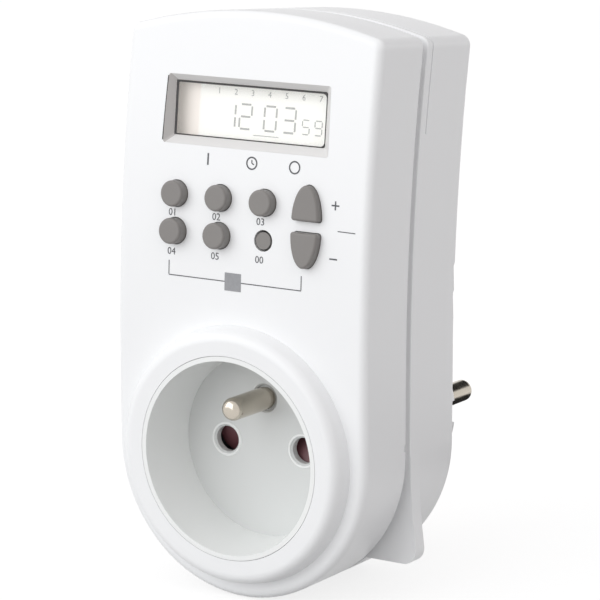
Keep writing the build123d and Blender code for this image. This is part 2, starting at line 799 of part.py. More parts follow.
with BuildPart() as lcd_glass:
    with BuildSketch(panel.offset(-lcd_seat)):
        with Locations((0, window_up)):
            Rectangle(lcd_width, lcd_height)
    extrude(amount=-lcd_thickness)
lcd_glass.part.label = "lcd_glass"
export_step(lcd_glass.part, "parts/lcd_glass.step")

with BuildPart() as lcd_holder:
    with BuildSketch(panel.offset(-lcd_seat)):
        with Locations((0, window_up)):
            RectangleRounded(holder_width, holder_height, 1.0)
            Rectangle(lcd_width + 2 * fit, lcd_height + 2 * fit, mode=Mode.SUBTRACT)
    extrude(amount=-(board_depth - lcd_seat))
lcd_holder.part.label = "lcd_holder"
export_step(lcd_holder.part, "parts/lcd_holder.step")

# Rubber contact strips between the glass and the board
zebra_width = 1.8
for name, up in (("zebra_strip_top", 1), ("zebra_strip_bottom", -1)):
    with BuildPart() as zebra_strip:
        with BuildSketch(panel.offset(-lcd_back)):
            with Locations((0, window_up + up * (lcd_height - zebra_width) / 2)):
                Rectangle(opening_width, zebra_width)
        extrude(amount=-(board_depth - lcd_back))
    zebra_strip.part.label = name
    export_step(zebra_strip.part, f"parts/{name}.step")

with BuildPart() as control_board:
    with BuildSketch(panel.offset(-board_depth)):
        with Locations((0, (board_top + board_bottom) / 2)):
            RectangleRounded(board_width, board_top - board_bottom, 1.5)
    extrude(amount=-board_thickness)
control_board.part.label = "control_board"
export_step(control_board.part, "parts/control_board.step")

# ---------------------------------------------------------------- keys
for number, place in enumerate(round_keys, start=1):
    with BuildPart() as round_key:
        with BuildSketch(panel.offset(-key_seat)):
            with Locations(place):
                Circle(key_radius)
        extrude(amount=key_seat + key_proud)
        key_crown = round_key.edges().filter_by(GeomType.CIRCLE).sort_by(Axis.Y)[0]
        fillet(key_crown, key_edge)
        with BuildSketch(panel.offset(-key_seat)):
            with Locations(place):
                Circle(key_radius + key_flange)
        extrude(amount=-key_flange_thickness)
    round_key.part.label = f"round_key_{number}"
    export_step(round_key.part, f"parts/round_key_{number}.step")

with BuildPart() as reset_key:
    with BuildSketch(panel.offset(-key_seat)):
        with Locations(reset_place):
            Circle(reset_radius)
    extrude(amount=key_seat - reset_sunk)
    with BuildSketch(panel.offset(-key_seat)):
        with Locations(reset_place):
            Circle(reset_radius + reset_gap + key_flange)
    extrude(amount=-key_flange_thickness)
reset_key.part.label = "reset_key"
export_step(reset_key.part, "parts/reset_key.step")

for name, up in (("plus_key", 1), ("minus_key", -1)):
    with BuildPart() as rocker:
        with BuildSketch(panel.offset(-key_seat)):
            add(rocker_key(0, up))
        extrude(amount=key_seat + rocker_proud)
        fillet(rocker.faces().sort_by(Axis.Y)[0].edges(), key_edge)
        with BuildSketch(panel.offset(-key_seat)):
            add(rocker_key(rocker_flange, up))
        extrude(amount=-key_flange_thickness)
    rocker.part.label = name
    export_step(rocker.part, f"parts/{name}.step")

# Rubber mat with a dome under each key
mat_seat = board_depth - mat_thickness
rocker_reach = (rocker_bar + rocker_length) / 2
mat_top = key_rows[0] + dome_radius + mat_edge
mat_bottom = rocker_centre - rocker_reach - dome_radius - mat_edge
domes = round_keys + [
    reset_place,
    (rocker_across, rocker_centre + rocker_reach),
    (rocker_across, rocker_centre - rocker_reach),
]
with BuildPart() as keypad_mat:
    with BuildSketch(panel.offset(-mat_seat)):
        with Locations((0, (mat_top + mat_bottom) / 2)):
            RectangleRounded(board_width - 2 * mat_edge, mat_top - mat_bottom, 1.0)
    extrude(amount=-mat_thickness)
    with BuildSketch(panel.offset(-mat_seat)):
        with Locations(*domes):
            Circle(dome_radius)
    extrude(amount=mat_seat - dome_top, taper=8)
keypad_mat.part.label = "keypad_mat"
export_step(keypad_mat.part, "parts/keypad_mat.step")

# ---------------------------------------------------------------- power board
with BuildPart() as power_board:
    with BuildSketch(Plane.XZ.offset(-power_y)):
        with Locations((0, (power_top + power_bottom) / 2)):
            RectangleRounded(power_width, power_top - power_bottom, 1.5)
    extrude(amount=-board_thickness)
power_board.part.label = "power_board"
export_step(power_board.part, "parts/power_board.step")

# Parts that stand on the board's back
boxes = {
    "relay": (relay_place, relay_size),
    "film_capacitor": (film_place, film_size),
    "varistor": (varistor_place, varistor_size),
}
for name, ((across, height), (size_x, size_y, size_z)) in boxes.items():
    with BuildPart() as component:
        with BuildSketch(Plane.XZ.offset(-power_back)):
            with Locations((across, power_bottom + height)):
                Rectangle(size_x, size_z)
        extrude(amount=-size_y)
        fillet(component.faces().sort_by(Axis.Y)[-1].edges(), component_edge)
    component.part.label = name
    export_step(component.part, f"parts/{name}.step")

with BuildPart() as smoothing_capacitor:
    with BuildSketch(Plane.XZ.offset(-power_back)):
        with Locations((can_place[0], power_bottom + can_place[1])):
            Circle(can_radius)
    extrude(amount=-can_length)
    fillet(smoothing_capacitor.edges().sort_by(Axis.Y)[-1], component_edge)
smoothing_capacitor.part.label = "smoothing_capacitor"
export_step(smoothing_capacitor.part, "parts/smoothing_capacitor.step")

# Parts on the board's front: the backup battery and the header to the control board
with BuildPart() as backup_battery:
    with BuildSketch(Plane.XZ.offset(-power_y)):
        with Locations((battery_place[0], power_bottom + battery_place[1])):
            Circle(battery_radius)
    extrude(amount=battery_thickness)
    fillet(backup_battery.edges().sort_by(Axis.Y)[0], battery_edge)
backup_battery.part.label = "backup_battery"
export_step(backup_battery.part, "parts/backup_battery.step")

header_height = power_bottom + header_place[1]
header_front = leaning_y(header_height, board_depth + board_thickness) + header_gap
with BuildPart() as board_header:
    with BuildSketch(Plane.XZ.offset(-power_y)):
        with Locations((header_place[0], header_height)):
            Rectangle(header_length, header_width)
    extrude(amount=power_y - header_front)
board_header.part.label = "board_header"
export_step(board_header.part, "parts/board_header.step")

# ---------------------------------------------------------------- housing screws
for number, (across, height) in enumerate(posts, start=1):
    with BuildPart() as housing_screw:
        with BuildSketch(Plane.XZ.offset(-screw_seat(height))):
            with Locations((across, height)):
                Circle(screw_head)
        extrude(amount=-screw_head_thickness)
        fillet(housing_screw.edges().sort_by(Axis.Y)[-1], 0.5)
        with BuildSketch(Plane.XZ.offset(-screw_seat(height))):
            with Locations((across, height)):
                Circle(screw_radius)
        extrude(amount=screw_length)
    housing_screw.part.label = f"housing_screw_{number}"
    export_step(housing_screw.part, f"parts/housing_screw_{number}.step")
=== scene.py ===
"""Looks of a plug-in programmable timer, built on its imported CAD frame."""

import json
from math import cos, pi, radians, sin

import bmesh
import bpy
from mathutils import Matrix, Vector
from mathutils.bvhtree import BVHTree


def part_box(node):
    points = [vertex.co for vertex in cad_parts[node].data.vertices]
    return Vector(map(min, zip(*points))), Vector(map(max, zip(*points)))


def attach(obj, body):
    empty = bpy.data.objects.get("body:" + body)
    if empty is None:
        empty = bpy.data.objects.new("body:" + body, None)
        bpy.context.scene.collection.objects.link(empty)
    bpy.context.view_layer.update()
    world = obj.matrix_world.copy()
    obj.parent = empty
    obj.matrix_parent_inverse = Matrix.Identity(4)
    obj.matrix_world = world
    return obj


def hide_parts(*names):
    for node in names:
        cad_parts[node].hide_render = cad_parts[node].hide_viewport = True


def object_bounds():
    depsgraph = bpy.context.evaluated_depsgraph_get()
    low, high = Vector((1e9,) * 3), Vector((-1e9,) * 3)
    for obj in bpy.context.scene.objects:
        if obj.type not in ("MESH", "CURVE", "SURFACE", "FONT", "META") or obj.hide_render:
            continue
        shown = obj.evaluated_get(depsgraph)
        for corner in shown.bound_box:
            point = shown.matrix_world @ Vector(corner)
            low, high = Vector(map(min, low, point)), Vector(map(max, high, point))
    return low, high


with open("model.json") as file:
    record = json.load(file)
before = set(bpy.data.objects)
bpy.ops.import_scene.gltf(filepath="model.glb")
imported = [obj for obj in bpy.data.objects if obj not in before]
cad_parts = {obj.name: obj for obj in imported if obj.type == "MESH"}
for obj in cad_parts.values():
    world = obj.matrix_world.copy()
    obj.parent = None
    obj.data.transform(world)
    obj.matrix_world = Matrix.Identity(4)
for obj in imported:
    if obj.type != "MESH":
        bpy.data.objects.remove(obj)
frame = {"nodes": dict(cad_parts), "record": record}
CAD_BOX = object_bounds()
NODES = frame["nodes"]
RECORD = frame["record"]
MM = 0.001

# The keypad's panel leans back: its keys are pressed along one slide axis
AXES = {joint["name"]: Vector(joint["axis"]) for joint in RECORD["behaviour"]["joints"]}
OUT = -AXES["press_round_key_1"].normalized()
UP = Vector((0, OUT.z, -OUT.y))
ACROSS = Vector((1, 0, 0))
AHEAD, BEHIND = Vector((0, -1, 0)), Vector((0, 1, 0))

# Printed marks on the housing
INK_THICKNESS = 0.03 * MM
INK_GAP = 0.015 * MM          # keeps a mark's underside just clear of its surface
CAP_RATIO = 0.7               # height of a numeral, as a share of the font's size
DROP_HEIGHT = 30 * MM         # artwork is dropped on its surface from this height
EDGE_STEP = 0.002 * MM        # sideways step that frees a line from the edge between faces
BAR_RUN = 2.0 * MM            # longest part of a stroke that stays straight
STATUS_RISE = 7.9 * MM        # state signs: their height over the keys' top row
STATUS_PLACES = (-8.6 * MM, 2.1 * MM, 12.4 * MM)
STATUS_HEIGHT = 2.4 * MM
STATUS_BAR = 0.36 * MM
STATUS_LINE = 0.3 * MM
CLOCK_LINE = 0.22 * MM
LONG_HAND = (0, 0.7 * MM)
SHORT_HAND = (0.55 * MM, -0.25 * MM)
LABEL_HEIGHT = 1.45 * MM      # numbers at the keys
LABEL_SHIFT = -0.8 * MM
TOP_LABEL_DROP = -3.75 * MM
LOW_LABEL_DROP = -4.1 * MM
RESET_LABEL_DROP = -3.9 * MM
SIGN_SHIFT = 6.3 * MM         # plus and minus, to the right of their keys
SIGN_RISE = {"plus_key": 0.3 * MM, "minus_key": -0.9 * MM}
SIGN_ARM = 0.9 * MM
SIGN_LINE = 0.3 * MM
DIVIDER = (23.3 * MM, 27.4 * MM)
DIVIDER_DROP = 0.05 * MM
DIVIDER_LINE = 0.18 * MM
BRACKET_LINE = 0.2 * MM
BRACKET_DROP = -8.95 * MM     # the bracket's level under the lower row of keys
BRACKET_RISE = 3.0 * MM
BRACKET_SHIFTS = {"round_key_4": -1.35 * MM, "plus_key": -1.1 * MM}
BLOCK_PLACE = -1.4 * MM
BLOCK_HALF_WIDTH = 2.0 * MM
BLOCK_HALF_HEIGHT = 1.85 * MM

# Display
SEGMENT_SLANT = 0.03
TIME_LEVEL = -0.9 * MM
TIME_FIGURES = (("1", -6.6 * MM), ("2", -2.6 * MM), ("0", 3.4 * MM), ("3", 8.0 * MM))
TIME_SIZE = (2.9 * MM, 5.0 * MM, 0.40 * MM)         # width, height and stroke of a figure
SECONDS_DROP = 1.05 * MM
SECONDS_FIGURES = (("5", 12.0 * MM), ("9", 15.0 * MM))
SECONDS_SIZE = (1.7 * MM, 2.9 * MM, 0.24 * MM)
DAY_START = -9.3 * MM         # numbers of the days, in a row over the time
DAY_STEP = 4.1 * MM
DAY_LEVEL = 3.9 * MM
DAY_HEIGHT = 1.2 * MM
UNDERLINE = ((-0.5 * MM, -4.5 * MM), (5.6 * MM, -4.5 * MM))
UNDERLINE_WIDTH = 0.16 * MM
SHADE_BAND_EDGE = -14.0 * MM        # where the display's band of painted shade ends
SHADE_BAND_BLUR = 0.3 * MM
BORDER_LEFT = 0.60 * MM       # widths of the line round the window
BORDER_TOP = 0.42 * MM
BORDER_BOTTOM = 0.26 * MM
BORDER_RIGHT = 0.24 * MM
WINDOW_RADII = (0.1 * MM, 0.5 * MM)                 # corners at the left and the right
VIEW_RADII = (0.2 * MM, 0.9 * MM)

# Display's opening
LEFT_SHADOW_LINE_HALF = 0.12 * MM         # half the width of the painted shadow line along the left side
BEVEL_REACH = 2.2 * MM        # how far the opening's sloped sides may reach past the window
BEVEL_DEPTH = 3.0 * MM
BEVEL_TILT = (0.45, 0.95)     # how much a sloped side faces outward

# Band round the seam
BAND_WIDTH = 1.8 * MM
BAND_LEAST = 0.9 * BAND_WIDTH  # anything narrower is not the band
BAND_PROBE = 0.7 * MM         # half of how far the band is set back
BAND_REACH = 2.6 * MM         # a little more than its width
BAND_STEP = 0.2 * MM          # how closely the band is looked for
BAND_STEPS = 70
SEAM_TOP = 82.8 * MM          # where the sides start to turn into the top
SEAM_TURN = radians(50)       # how far the painted shadow follows the round lower end
SEAM_RUNS = 120
SEAM_SHARE = 0.55             # the painted shadow's share of the band

# Contact holes
HOLE_OFFSET = 9.5 * MM        # from the socket's axis
RIM_STEPS = 64
RIM_PROFILE = (               # radius, and height above the well's floor
    (3.12 * MM, -0.10 * MM), (3.14 * MM, 0.10 * MM), (3.24 * MM, 0.20 * MM), (3.40 * MM, 0.22 * MM),
    (3.56 * MM, 0.14 * MM), (3.66 * MM, 0.02 * MM), (3.68 * MM, -0.10 * MM),
)

# Screws
SCREW_STEPS = 48
HEAD_THICKNESS = 2.0 * MM
SHANK_RADIUS = 1.5 * MM
RECESS_SPAN = 3.4 * MM
RECESS_ARM = 0.85 * MM
RECESS_DEPTH = 1.3 * MM

# Camera
AIM_ACROSS = 9.0 * MM         # the point that the camera looks at
AIM_BEHIND_LIP = 13.6 * MM
AIM_HEIGHT = 31.8 * MM
AZIMUTH = radians(33.0)
ELEVATION = radians(11.5)
DISTANCE = 0.612
LENS = 180                    # millimetres, on a sensor 36 wide

# Studio
LAMP_PLACE = (-1.10, -2.20, 0.95)
LAMP_SIZE = 3.0
LAMP_POWER = 43.5
KEY_TINT = (0.97, 0.99, 1.0)
ROOM_LIGHT = 0.79             # what the room gives matt surfaces
ROOM_TINT = (1.0, 0.982, 0.985, 1.0)
WHITE = (1, 1, 1, 1)
FLOOR_CORNERS = ((-3, -3), (3, -3), (3, 3), (-3, 3))
FLOOR_DROP = 0.2 * MM
FLOOR_RETURN = (0.47, 0.47, 0.47, 1)                # light that the floor gives back
FLOOR_SHADE = (0.25, 0.25, 0.25, 1)                 # part of its look that a shadow can darken
FLOOR_GLOW = 0.8
CARDS = (                     # corners of each, in metres
    ("upper_card", ((-1.5, 1.2, 0.5), (1.5, 1.2, 0.5), (1.5, 1.2, 2.0), (-1.5, 1.2, 2.0))),
    (
        "lower_card",
        ((-1.0, 0.03, -0.03), (1.0, 0.03, -0.03), (1.0, 0.09, -0.03), (-1.0, 0.09, -0.03)),
    ),
)


# ---------------------------------------------------------------- helpers
def linear(hex_colour):
    """Linear RGBA of an sRGB hex colour."""
    channels = [int(hex_colour[i:i + 2], 16) / 255 for i in (1, 3, 5)]
    return [c / 12.92 if c <= 0.04045 else ((c + 0.055) / 1.055) ** 2.4 for c in channels] + [1.0]


def add(tree, kind, inputs=None, **settings):
    """Adds a node. inputs maps a socket's name or number to a value, or to an output to link."""
    made = tree.nodes.new(kind)
    for name, value in settings.items():
        setattr(made, name, value)
    for name, value in (inputs or {}).items():
        if isinstance(value, bpy.types.NodeSocket):
            tree.links.new(value, made.inputs[name])
        else:
            made.inputs[name].default_value = value
    return made


def new_material(name):
    """An empty material with its output node, and the Object coordinates that its patterns read."""
    material = bpy.data.materials.new(name)
    material.use_nodes = True
    tree = material.node_tree
    tree.nodes.clear()
    output = tree.nodes.new("ShaderNodeOutputMaterial")
    place = add(tree, "ShaderNodeTexCoord").outputs["Object"]
    return material, tree, output, place


def finish_material(tree, output, inputs):
    """Ends a material in a Principled shader with these inputs."""
    shader = add(tree, "ShaderNodeBsdfPrincipled", inputs)
    tree.links.new(shader.outputs["BSDF"], output.inputs["Surface"])


def noise(tree, place, size, detail):
    """A cloud pattern from 0 to 1, with patches of about that size."""
    inputs = {"Vector": place, "Scale": 1 / size, "Detail": detail}
    return add(tree, "ShaderNodeTexNoise", inputs).outputs["Fac"]


def blend(tree, share, low, high):
    """The colour that lies between two others at that share."""
    mixed = add(tree, "ShaderNodeMix", {0: share, 6: low, 7: high}, data_type="RGBA")
    return mixed.outputs[2]


def scaled(tree, share, low, high):
    """A value from 0 to 1 brought to the range from low to high."""
    mapped = add(tree, "ShaderNodeMapRange", {"Value": share, "To Min": low, "To Max": high})
    return mapped.outputs["Result"]


def relief(tree, height, strength, distance):
    """Normals tilted by a height pattern."""
    inputs = {"Height": height, "Strength": strength, "Distance": distance}
    return add(tree, "ShaderNodeBump", inputs).outputs["Normal"]


# ---------------------------------------------------------------- materials
def moulded_plastic(name, low, high, roughness, grit=0.35 * MM):
    """Injection-moulded plastic: an even colour that drifts slightly over centimetres, and the
    grain that a spark-eroded mould leaves, which softens its gloss. Real grain is finer than
    0.1 mm. This one is drawn coarser, so that it shows."""
    material, tree, output, place = new_material(name)
    drift = noise(tree, place, 30 * MM, 2.0)
    grain = noise(tree, place, grit, 3.0)
    surface = {
        "Base Color": blend(tree, drift, linear(low), linear(high)),
        "Roughness": scaled(tree, grain, roughness - 0.04, roughness + 0.06),
        "IOR": 1.53,
        "Normal": relief(tree, grain, 0.25, 0.004 * MM),
    }
    finish_material(tree, output, surface)
    return material


def bright_metal(name, low, high, roughness):
    """Plated or bare metal: bright, slightly cloudy, with the faint rings that turning leaves.
    The wave repeats 20 / (2 pi) times as often as its scale says, so the rings lie 3.8 mm
    apart. Real ones are far finer. These are drawn coarser, so that they show."""
    material, tree, output, place = new_material(name)
    rings = add(
        tree,
        "ShaderNodeTexWave",
        {"Vector": place, "Scale": 1 / (12 * MM), "Distortion": 0.4, "Detail": 1.0},
        wave_type="BANDS",
        bands_direction="Y",
    )
    cloud = noise(tree, place, 3 * MM, 3.0)
    surface = {
        "Base Color": blend(tree, cloud, linear(low), linear(high)),
        "Metallic": 1.0,
        "Roughness": scaled(tree, cloud, roughness - 0.05, roughness + 0.08),
        "Normal": relief(tree, rings.outputs["Fac"], 0.1, 0.01 * MM),
    }
    finish_material(tree, output, surface)
    return material


def clear_polycarbonate():
    """Clear moulded window: almost all light goes through, and it keeps a soft gloss."""
    material, tree, output, place = new_material("clear_polycarbonate")
    haze = noise(tree, place, 4 * MM, 2.0)
    surface = {
        "Base Color": linear("#F4F6F6"),
        "Roughness": scaled(tree, haze, 0.04, 0.10),
        "IOR": 1.58,
        "Alpha": 0.06,
    }
    finish_material(tree, output, surface)
    return material


def liquid_crystal_glass():
    """Liquid-crystal cell: a warm white reflector under glass, with a faint painted glow that
    brightens it, and painted shade as a cream band along its left edge."""
    material, tree, output, place = new_material("liquid_crystal_glass")
    spread = noise(tree, place, 12 * MM, 2.0)
    active = blend(tree, spread, linear("#FCFBF5"), linear("#FFFFFB"))
    across = add(tree, "ShaderNodeSeparateXYZ", {"Vector": place})
    # Painted shade: a cream band along the left edge, blurred where it ends
    shade_band = add(
        tree,
        "ShaderNodeMapRange",
        {
            "Value": across.outputs["X"],
            "From Min": SHADE_BAND_EDGE - SHADE_BAND_BLUR,
            "From Max": SHADE_BAND_EDGE + SHADE_BAND_BLUR,
            "To Min": 1.0,
            "To Max": 0.0,
        },
    )
    surface = {
        "Base Color": blend(tree, shade_band.outputs["Result"], active, linear("#F3EAE2")),
        "Roughness": 0.3,
        "IOR": 1.52,
        # Painted light: a faint glow of the cell's own, though it is no lamp, that brightens it
        "Emission Color": linear("#FFFDF6"),
        "Emission Strength": 0.13,
    }
    finish_material(tree, output, surface)
    return material


def ink(name, hex_colour):
    """Pad-printed ink: matt, thin, with a cover that is slightly uneven over half a millimetre."""
    material, tree, output, place = new_material(name)
    cover = noise(tree, place, 0.5 * MM, 2.0)
    pale = [min(1.0, c * 1.25 + 0.01) for c in linear(hex_colour)[:3]] + [1.0]
    colour = blend(tree, cover, linear(hex_colour), pale)
    finish_material(tree, output, {"Base Color": colour, "Roughness": 0.55, "IOR": 1.5})
    return material


def circuit_board():
    """Glass-reinforced epoxy under green solder mask, with the weave just showing."""
    material, tree, output, place = new_material("solder_masked_board")
    weave = add(tree, "ShaderNodeTexChecker", {"Vector": place, "Scale": 1 / (0.8 * MM)})
    colour = blend(tree, weave.outputs["Fac"], linear("#1F5A33"), linear("#246339"))
    finish_material(tree, output, {"Base Color": colour, "Roughness": 0.3, "IOR": 1.5})
    return material


# Shells and well: clean satin whites, the well's a touch warmer and glossier
SHELL = moulded_plastic("moulded_abs_white", "#F3F4F5", "#F6F7F8", 0.36)
SOCKET = moulded_plastic("moulded_polyamide_white", "#F1F3F2", "#F5F6F5", 0.32)
# Display's opening and the well's floor: greys that paint shade, only in part on the opening's
# sloped sides, and a cream
# Sloped sides of the opening: a grey facing, its tone also painted shade
BEZEL = moulded_plastic("moulded_abs_pale_grey_and_painted_shade", "#DEDDDC", "#E3E2E1", 0.4)
# Their left side: a darker copy of the same plastic, painted shade of that side
BEZEL_SIDE_SHADE = moulded_plastic("moulded_abs_painted_shade_grey", "#BAB7B5", "#BFBCBA", 0.45)
DISPLAY_FRAME = moulded_plastic("moulded_abs_cream", "#E9E1D8", "#EEE7DF", 0.45)
# Well's floor: darker than the well, painted shade
SOCKET_FLOOR_SHADE = moulded_plastic("moulded_polyamide_painted_shade_grey", "#D6D8D7", "#DADCDB", 0.32)
# Keys and shutter: soft matt colours
KEY = moulded_plastic("moulded_abs_grey", "#7C7876", "#83807D", 0.45, grit=0.25 * MM)
SHUTTER = moulded_plastic("moulded_polyamide_maroon", "#6A4348", "#754C51", 0.4)
# Mouldings, mat and components inside, each in its usual colour
BLACK = moulded_plastic("moulded_abs_black", "#1B1B1C", "#222223", 0.5)
INNER = moulded_plastic("moulded_polycarbonate_grey", "#56575A", "#5F6063", 0.5)
RUBBER = moulded_plastic("silicone_rubber_grey", "#5C5C5E", "#666668", 0.7)
BLUE_PLASTIC = moulded_plastic("moulded_pbt_blue", "#1D3F7A", "#234887", 0.4)
FILM = moulded_plastic("dipped_polyester_yellow", "#B78F2A", "#C69D35", 0.35)
SLEEVE_BLACK = moulded_plastic("shrink_sleeve_black", "#17181C", "#202126", 0.35)
SLEEVE_GREEN = moulded_plastic("shrink_sleeve_green", "#2E7A46", "#37874F", 0.35)
# Pins polished and warm, springs yellow, screws cooler and duller
NICKEL = bright_metal("nickel_plated_brass", "#C0B8AB", "#CDC5B9", 0.17)
BRASS = bright_metal("spring_brass", "#C8A24E", "#D6B464", 0.32)
STEEL = bright_metal("zinc_plated_steel", "#A9ACB0", "#B9BCC0", 0.34)
# Window, display and boards
CLEAR = clear_polycarbonate()
LCD = liquid_crystal_glass()
BOARD = circuit_board()
# Printing, a painted shadow in the seam's gap, kept matt, and the studio's dark cards
LEGEND_INK = ink("pad_printed_grey_ink", "#4E4F53")
BLOCK_INK = ink("pad_printed_light_grey_ink", "#8F9093")
# Black ink: the print round the window, and also the painted shadow line by the opening's left side
BLACK_PRINT_AND_SHADOW_INK = ink("black_print_and_painted_shadow_ink", "#2A2829")
SEGMENT_INK = ink("liquid_crystal_segments", "#ADADAB")
# Painted shadow: the dark grey in the seam's gap
SEAM_SHADOW = moulded_plastic("painted_shadow_grey_abs", "#8A8887", "#908E8D", 0.6)
CARD = moulded_plastic("black_felt_card", "#0C0C0C", "#101010", 0.9)

SLOT_MATERIALS = {
    "shell": SHELL, "socket": SOCKET, "key": KEY, "shutter": SHUTTER, "black": BLACK,
    "inner": INNER, "rubber": RUBBER, "relay": BLUE_PLASTIC, "capacitor": FILM,
    "varistor": BLUE_PLASTIC,
    "can": SLEEVE_BLACK, "battery": SLEEVE_GREEN, "nickel": NICKEL, "brass": BRASS, "steel": STEEL,
    "clear": CLEAR, "lcd": LCD, "board": BOARD,
}
NODE_MATERIALS = {"display_frame": DISPLAY_FRAME, "socket_floor": SOCKET_FLOOR_SHADE}
for part in RECORD["subparts"]:
    usual = SLOT_MATERIALS[part["material_slot"]]
    node = NODES[part["node"]]
    node.data.materials.clear()
    node.data.materials.append(NODE_MATERIALS.get(part["node"], usual))


# ---------------------------------------------------------------- shapes
def new_object(name, data):
    """An object with that data, in the scene."""
    made = bpy.data.objects.new(name, data)
    bpy.context.scene.collection.objects.link(made)
    return made


def plain_mesh(holder):
    """An object's curve or modifiers worked out as a plain mesh."""
    evaluated = holder.evaluated_get(bpy.context.evaluated_depsgraph_get())
    return bpy.data.meshes.new_from_object(evaluated)


def new_piece(name, mesh, body, material):
    """A finished mesh as a piece that rides on a body."""
    piece = new_object(name, mesh)
    mesh.materials.clear()
    mesh.materials.append(material)
    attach(piece, body)
    return piece


def surface_of(node):
    """The node's surface, for dropping points on it."""
    mesh = NODES[node].data
    return BVHTree.FromPolygons([v.co for v in mesh.vertices], [p.vertices for p in mesh.polygons])


def middle(node):
    """Middle of the node's box."""
    low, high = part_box(node)
    return (Vector(low) + Vector(high)) / 2


def front_outline(node):
    """Middle, width and height of the flat face that the node turns to the keypad's side."""
    points = [v.co for v in NODES[node].data.vertices]
    front = max(p.dot(OUT) for p in points)
    face = [p for p in points if p.dot(OUT) > front - 0.01 * MM]
    across = [p.x for p in face]
    up = [p.dot(UP) for p in face]
    centre = (
        (min(across) + max(across)) / 2 * ACROSS + (min(up) + max(up)) / 2 * UP + front * OUT
    )
    return centre, max(across) - min(across), max(up) - min(up)


def join_loops(shape, first, second):
    """Adds the quads between two closed loops of as many points."""
    for i in range(len(first)):
        j = (i + 1) % len(first)
        shape.faces.new((first[i], first[j], second[j], second[i]))


def circle(steps):
    """Angles of that many even steps round a circle."""
    return [2 * pi * i / steps for i in range(steps)]


def patch(shape, low, high):
    """Adds a flat rectangle with the ink's thickness, between two corners (across, up)."""
    corners = ((low[0], low[1]), (high[0], low[1]), (high[0], high[1]), (low[0], high[1]))
    base, top = (
        [shape.verts.new((x, y, level)) for x, y in corners] for level in (0, INK_THICKNESS)
    )
    shape.faces.new(reversed(base))
    shape.faces.new(top)
    join_loops(shape, base, top)


def bar(shape, start, end, width):
    """A straight stroke from start to end, in short runs so that it can follow a curved face."""
    start, end = Vector(start), Vector(end)
    side = Vector((start.y - end.y, end.x - start.x)).normalized() * width / 2
    runs = max(1, round((end - start).length / BAR_RUN))
    loops = []
    for step in range(runs + 1):
        spot = start.lerp(end, step / runs)
        corners = (
            (spot - side, 0), (spot + side, 0),
            (spot + side, INK_THICKNESS), (spot - side, INK_THICKNESS),
        )
        loops.append([shape.verts.new((edge.x, edge.y, level)) for edge, level in corners])
    for first, second in zip(loops, loops[1:]):
        join_loops(shape, first, second)
    shape.faces.new(loops[0])
    shape.faces.new(loops[-1])


def flat_ring(shape, inner, outer):
    """Adds the flat band between two outlines with as many points each."""
    inner_low, inner_top, outer_low, outer_top = (
        [shape.verts.new((x, y, level)) for x, y in outline]
        for outline in (inner, outer)
        for level in (0, INK_THICKNESS)
    )
    loops = [inner_low, inner_top, outer_top, outer_low]
    for first, second in zip(loops, loops[1:] + loops[:1]):
        join_loops(shape, first, second)


def ring(shape, centre, radius, width):
    """A flat circle line."""
    outlines = [
        [(centre[0] + reach * cos(turn), centre[1] + reach * sin(turn)) for turn in circle(40)]
        for reach in (radius - width / 2, radius + width / 2)
    ]
    flat_ring(shape, *outlines)


def numeral(shape, text, centre, size):
    """Adds plain printed figures of that height, centred."""
    curve = bpy.data.curves.new("numeral", "FONT")
    curve.body = text
    curve.size = size / CAP_RATIO
    curve.align_x = "CENTER"
    curve.align_y = "CENTER"
    curve.extrude = INK_THICKNESS / 2
    curve.resolution_u = 3
    holder = new_object("numeral", curve)
    mesh = plain_mesh(holder)
    bpy.data.objects.remove(holder)
    start = len(shape.verts)
    shape.from_mesh(mesh)
    shape.verts.ensure_lookup_table()
    for vert in shape.verts[start:]:
        vert.co += Vector((centre[0], centre[1], INK_THICKNESS / 2))


def drop(surface, point):
    """Where the line through a point along the keypad's normal meets a surface."""
    hit = surface.ray_cast(point + DROP_HEIGHT * OUT, -OUT)[0]
    if hit is None:               # the line ran along the edge between two faces
        hit = surface.ray_cast(point + DROP_HEIGHT * OUT + EDGE_STEP * ACROSS, -OUT)[0]
    return hit


def lay_on_face(shape, surface, origin):
    """Moves flat artwork from (across, up, thickness) to where it lies on a surface."""
    for vert in shape.verts:
        flat = origin + vert.co.x * ACROSS + vert.co.y * UP
        vert.co = drop(surface, flat) + (vert.co.z + INK_GAP) * OUT


def mesh_from(shape, name, smooth=False):
    """The finished shape as a mesh, with its faces turned outward."""
    bmesh.ops.remove_doubles(shape, verts=shape.verts, dist=1e-7)
    bmesh.ops.recalc_face_normals(shape, faces=shape.faces)
    mesh = bpy.data.meshes.new(name)
    shape.to_mesh(mesh)
    shape.free()
    if smooth:
        mesh.shade_smooth()
    return mesh


